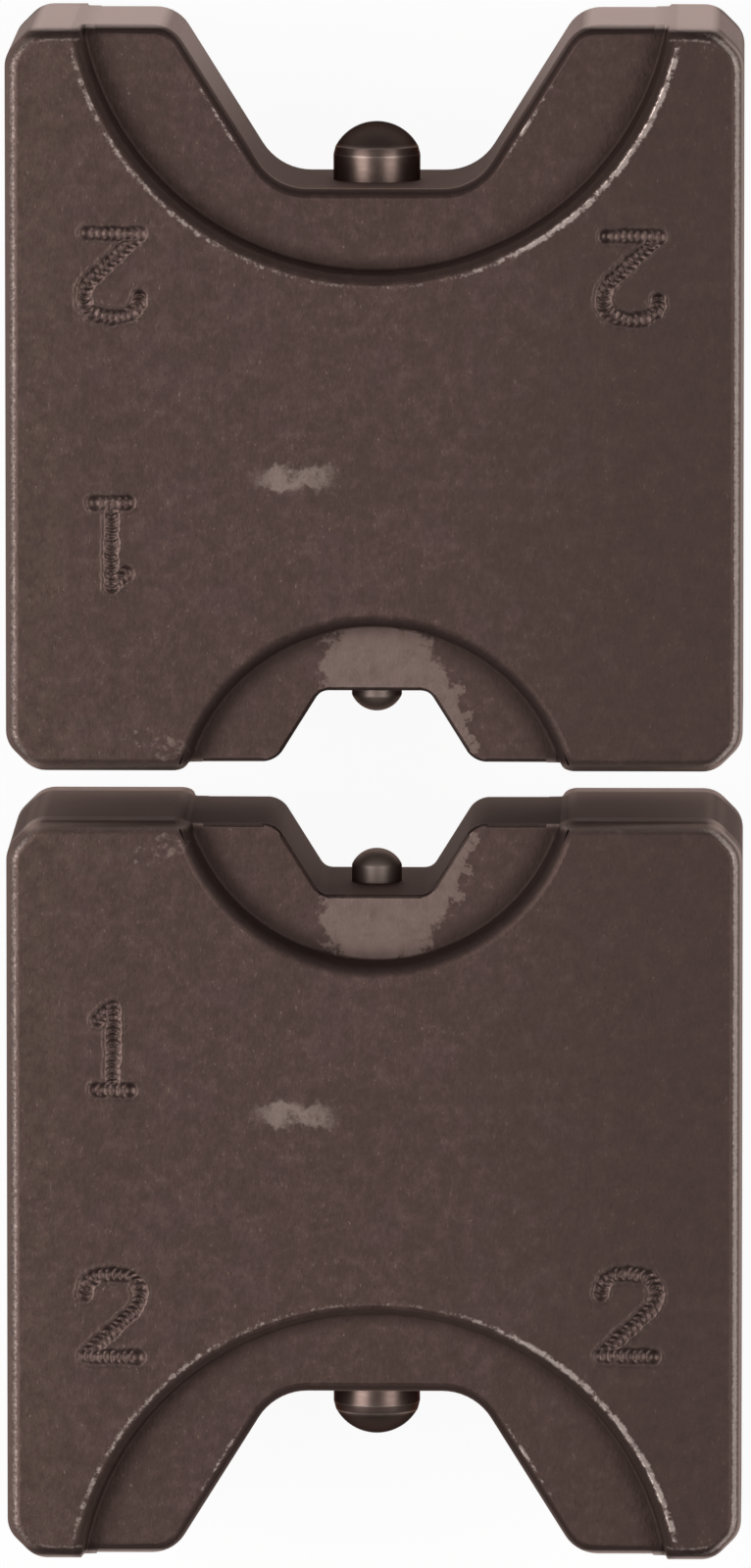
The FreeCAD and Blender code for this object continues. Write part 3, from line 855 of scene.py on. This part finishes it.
    # Painted shade on the large nest's chamfers
    nest_chamfer_shade = product(tree, [distance_band(tree, level, 5.78, 0.26), inner, large_nest])
    base = painted(tree, base, nest_chamfer_shade, "352A27", 0.85)
    nest_corner = distance_band(tree, apart.outputs["Y"], 11.2, 2.2)
    nest_lip = product(tree, [distance_band(tree, level, 5.47, 0.16), inner, nest_corner])
    base = painted(tree, base, nest_lip, "A08C84", 0.75)
    large_end_reflection = add_node(
        tree, "ShaderNodeMapRange", [("From Min", 19.0), ("From Max", 19.2)], Value=apart.outputs["Y"],
    ).outputs[0]
    # Painted light on the large nest's walls, growing towards its mouth
    base = painted(tree, base, product(tree, [wall, mouth, inner]), "7F6E6A", 0.9)
    # Painted reflection of the white floor on the large nest's end face
    base = painted(tree, base, large_end_reflection, "BEABA5", 0.9)
    # Painted reflection of the white floor on the small nest's end face
    small_end_reflection = add_node(
        tree, "ShaderNodeMapRange", [("From Min", -19.1), ("From Max", -19.22)], Value=apart.outputs["Y"],
    ).outputs[0]
    base = painted(tree, base, small_end_reflection, "8A7770", 0.8)

    # Numerals: painted shade in the dots, and a faint painted highlight on the burr
    peened = add_node(tree, "ShaderNodeAttribute", [("attribute_name", "peened")])
    burr = add_node(tree, "ShaderNodeAttribute", [("attribute_name", "burr")])
    base = painted(tree, base, peened.outputs["Fac"], "352A28", 0.45)
    base = painted(tree, base, burr.outputs["Fac"], "8A7770", 0.12)
    tree.links.new(base, shader.inputs["Base Color"])

    # Roughness: satin, smoother where it is worn or struck, duller in the nests and on the recess walls
    roughness = add_node(
        tree, "ShaderNodeMapRange", [("To Min", 0.42), ("To Max", 0.60)], Value=fine_blotch.outputs["Fac"],
    )
    smooth_places = union(tree, [worn, peened.outputs["Fac"], burr.outputs["Fac"]])
    worn_smooth = add_node(
        tree, "ShaderNodeMapRange", [("To Min", 0.0), ("To Max", -0.14)], Value=smooth_places,
    )
    total = add_node(tree, "ShaderNodeMath", [("operation", "ADD")],
                     _0=roughness.outputs[0], _1=worn_smooth.outputs[0])
    nest_roughness = add_node(
        tree, "ShaderNodeMapRange",
        [("interpolation_type", "SMOOTHSTEP"), ("From Min", 11.5), ("From Max", 19.2), ("To Min", 0.72),
         ("To Max", 0.52)], Value=apart.outputs["Y"],
    )
    in_nest = product(tree, [wall, inner])
    chosen = add_node(tree, "ShaderNodeMix", [("data_type", "FLOAT")],
                      _0=in_nest, _2=total.outputs[0], _3=nest_roughness.outputs[0])
    on_wall = add_node(tree, "ShaderNodeMix", [("data_type", "FLOAT"), (3, 0.72)],
                       _0=union(tree, [large_wall_shade, small_wall_shade]), _2=chosen.outputs[0])
    tree.links.new(on_wall.outputs[0], shader.inputs["Roughness"])
    shader.inputs["Metallic"].default_value = 0.9
    shader.inputs["Specular Tint"].default_value = linear("E2D0CA")

    # The grain stands out a little, and a speck is raised wherever a light mark is
    height = add_node(tree, "ShaderNodeMath", [("operation", "MULTIPLY_ADD"), (1, 0.6)],
                      _0=flecks, _2=uneven.outputs["Fac"])
    bump = add_node(tree, "ShaderNodeBump", [("Strength", 0.9), ("Distance", 0.035 * MM)],
                    Height=height.outputs[0])
    tree.links.new(bump.outputs[0], shader.inputs["Normal"])
    return material


# Where the pins leave the nest floors, along the stroke from the block's centre
LARGE_PIN_ROOT = LARGE_NEST_FLOOR - BLOCK_CENTRE
SMALL_PIN_ROOT = SMALL_NEST_FLOOR - BLOCK_CENTRE


def polished_oxide(name, side):
    """Black oxide over a turned and polished pin: darker and glossier than the blocks, with faint rings
    round it from turning, painted shade on the large pin's dome, painted light on the small pin, and two
    painted highlight lines where the large pin narrows."""
    material = bpy.data.materials.new(name)
    material.use_nodes = True
    tree = material.node_tree
    shader = tree.nodes["Principled BSDF"]
    place = half_coordinates(tree, side)
    # Rings about 0.17 mm apart
    rings_place = add_node(tree, "ShaderNodeMapping", [("Scale", (0.3, 6.0, 0.3))], Vector=place)
    rings = add_node(tree, "ShaderNodeTexNoise", [("Scale", 1.0), ("Detail", 3.0)],
                     Vector=rings_place.outputs[0])
    # Blotches about 0.6 mm across
    blotch = add_node(tree, "ShaderNodeTexNoise", [("Scale", 1.6), ("Detail", 4.0), ("Roughness", 0.6)],
                      Vector=place)
    tone = add_node(
        tree, "ShaderNodeMix", [("data_type", "RGBA"), (6, linear("5F4F4A")), (7, linear("7C6A63"))],
        _0=blotch.outputs["Fac"],
    )
    apart = add_node(tree, "ShaderNodeSeparateXYZ", _0=place)
    dome = add_node(
        tree, "ShaderNodeMapRange",
        [("From Min", LARGE_PIN_ROOT + 1.73), ("From Max", LARGE_PIN_ROOT + 1.91)],
        Value=apart.outputs["Y"],
    )
    small_pin_light = add_node(
        tree, "ShaderNodeMapRange",
        [("From Min", SMALL_PIN_ROOT + 0.25), ("From Max", SMALL_PIN_ROOT - 0.15)],
        Value=apart.outputs["Y"],
    )
    # Painted shade on the large pin's dome
    colour = painted(tree, tone.outputs[2], dome.outputs[0], "443935", 0.9)
    # Painted light on the small pin
    colour = painted(tree, colour, small_pin_light.outputs[0], "A8968E", 0.9)
    # Painted highlights: two light lines round the large pin where it narrows
    shoulder_highlights = union(tree, [
        distance_band(tree, apart.outputs["Y"], LARGE_PIN_ROOT + height, 0.07) for height in (1.32, 1.74)
    ])
    colour = painted(tree, colour, shoulder_highlights, "C8B8B0", 0.28)
    tree.links.new(colour, shader.inputs["Base Color"])
    roughness = add_node(
        tree, "ShaderNodeMapRange", [("To Min", 0.30), ("To Max", 0.46)], Value=rings.outputs["Fac"],
    )
    duller = add_node(tree, "ShaderNodeMix", [("data_type", "FLOAT"), (3, 0.50)],
                      _0=union(tree, [dome.outputs[0], small_pin_light.outputs[0]]), _2=roughness.outputs[0])
    tree.links.new(duller.outputs[0], shader.inputs["Roughness"])
    shader.inputs["Metallic"].default_value = 0.95
    shader.inputs["Specular Tint"].default_value = linear("8C7D78")
    bump = add_node(tree, "ShaderNodeBump", [("Strength", 0.3), ("Distance", 0.01 * MM)],
                    Height=rings.outputs["Fac"])
    tree.links.new(bump.outputs[0], shader.inputs["Normal"])
    return material


for side_name, side in (("upper", 1), ("lower", -1)):
    oxide = black_oxide(f"black_oxide_tool_steel_{side_name}", side)
    pin_oxide = polished_oxide(f"polished_oxide_indenter_{side_name}", side)
    for piece, finish in (
        (halves[side_name], oxide),
        (pins[f"{side_name}_large"], pin_oxide),
        (pins[f"{side_name}_small"], pin_oxide),
    ):
        piece.data.materials.clear()
        piece.data.materials.append(finish)
